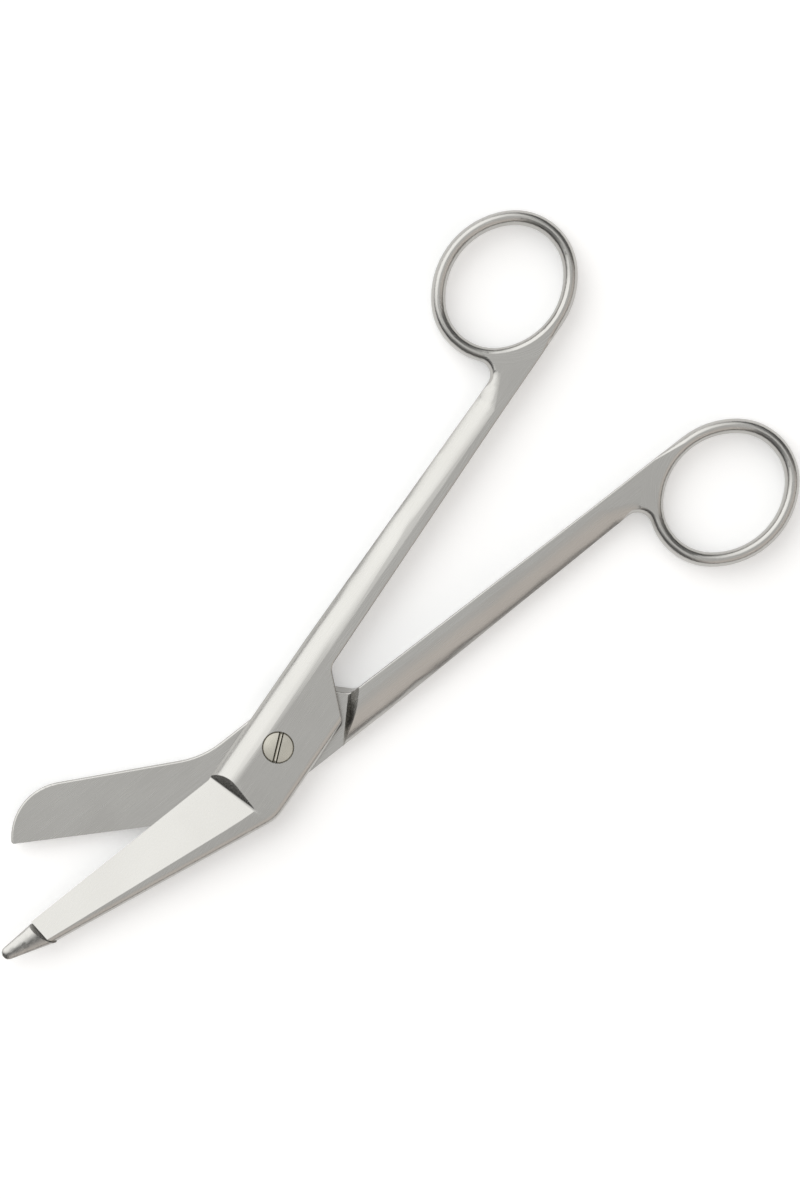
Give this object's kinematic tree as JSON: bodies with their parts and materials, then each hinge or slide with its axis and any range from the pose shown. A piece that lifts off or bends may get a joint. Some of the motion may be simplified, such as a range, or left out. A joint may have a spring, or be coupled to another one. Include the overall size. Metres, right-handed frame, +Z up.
{
  "type": "bandage scissors",
  "caption": "Steel bandage scissors with angled blades, a probe-tipped lower blade, a blunt round-ended blade, oval finger rings and a slotted pivot screw.",
  "frame": {"origin": "on the pivot axis, at the flat underside of the joint", "axes": "+X along the line that halves the opening, towards the finger rings; +Z up through the pivot, out of the screw's slotted head"},
  "size_m": [0.1795, 0.0866, 0.0066],
  "materials": {
    "blade_steel": "satin",
    "screw_steel": "satin"
  },
  "bodies": {
    "lower_half": {"blunt_half": "blade_steel", "pivot_screw": "screw_steel"},
    "upper_half": {"probe_half": "blade_steel"}
  },
  "joints": [
    {"name": "pivot", "type": "hinge", "parent": "lower_half", "child": "upper_half", "pos_m": [0, 0, 0.0033], "axis": [0, 0, 1], "range_deg": [-17.4, 80]}
  ]
}
